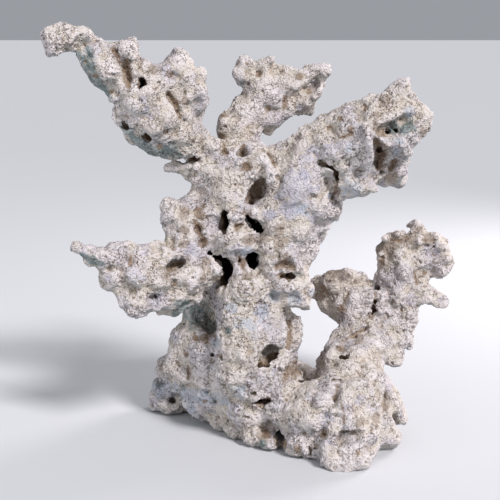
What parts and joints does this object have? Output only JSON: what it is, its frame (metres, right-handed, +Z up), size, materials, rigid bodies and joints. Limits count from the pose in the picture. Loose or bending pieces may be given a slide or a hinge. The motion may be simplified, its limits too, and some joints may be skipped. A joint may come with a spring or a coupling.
{
  "type": "dry reef rock",
  "caption": "Branching piece of dry reef rock: a knobbly upright trunk on a broad flat-footed base, with arms reaching up and out and a forked stem at one side.",
  "frame": {"origin": "on the ground, below the middle of the rock's overall width and depth", "axes": "+Z up; +X to the right as the rock is seen from its front; +Y from the front to the back, away from the viewer"},
  "size_m": [0.3206, 0.1544, 0.3235],
  "materials": {
    "base": "matte, granular and pored",
    "trunk": "matte, granular and pored",
    "left_branch": "matte, granular and pored",
    "upper_left_branch": "matte, granular and pored",
    "top_branch": "matte, granular and pored",
    "right_branch": "matte, granular and pored",
    "side_stem": "matte, granular and pored",
    "short_fork": "matte, granular and pored",
    "tall_fork": "matte, granular and pored"
  },
  "bodies": {
    "root": {"base": "base", "trunk": "trunk", "left_branch": "left_branch", "upper_left_branch": "upper_left_branch", "top_branch": "top_branch", "right_branch": "right_branch", "side_stem": "side_stem", "short_fork": "short_fork", "tall_fork": "tall_fork"}
  },
  "joints": []
}
